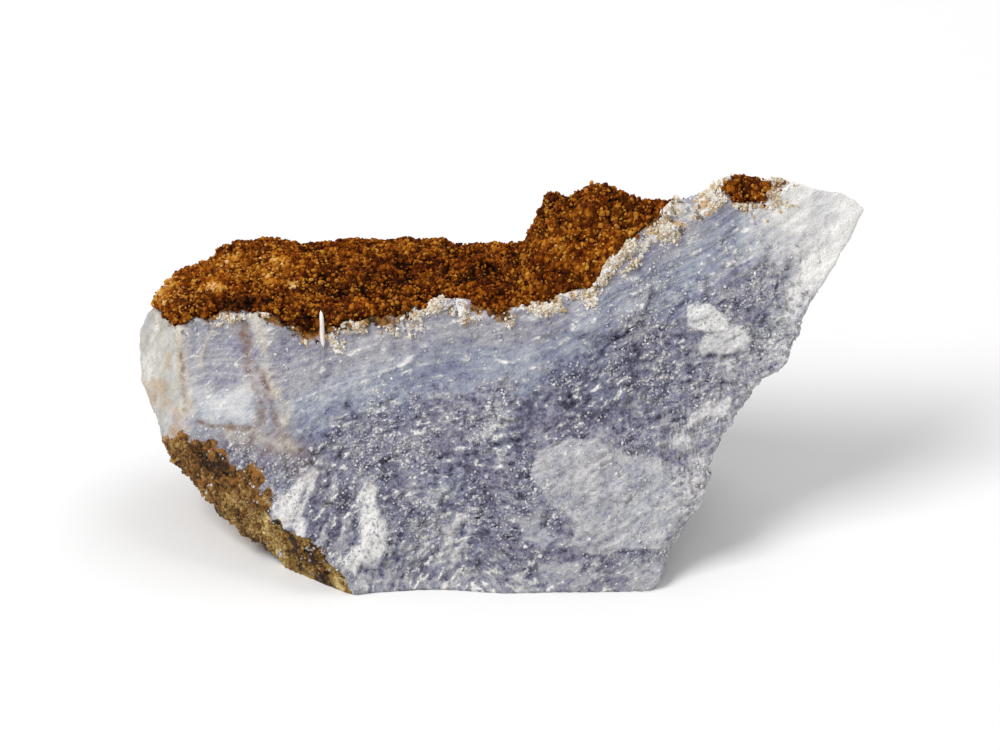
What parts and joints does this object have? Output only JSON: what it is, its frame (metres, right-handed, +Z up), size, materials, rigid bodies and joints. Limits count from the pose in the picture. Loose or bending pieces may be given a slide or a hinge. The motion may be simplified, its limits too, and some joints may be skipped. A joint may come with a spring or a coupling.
{
  "type": "rough blue lace agate stone",
  "caption": "Rough piece of banded blue-grey agate with a brown iron crust along its top, resting on a flat broken face.",
  "frame": {"origin": "on the surface it rests on, under the middle of its box", "axes": "+Z up, +X along its length towards the pointed tip, -Y towards the side that the broad front face looks to"},
  "size_m": [0.0538, 0.0228, 0.0256],
  "materials": {
    "agate": "broken banded blue-grey chalcedony, sugary in its lower part, with a rough brown iron crust on top"
  },
  "bodies": {
    "root": {"agate": "agate"}
  },
  "joints": []
}
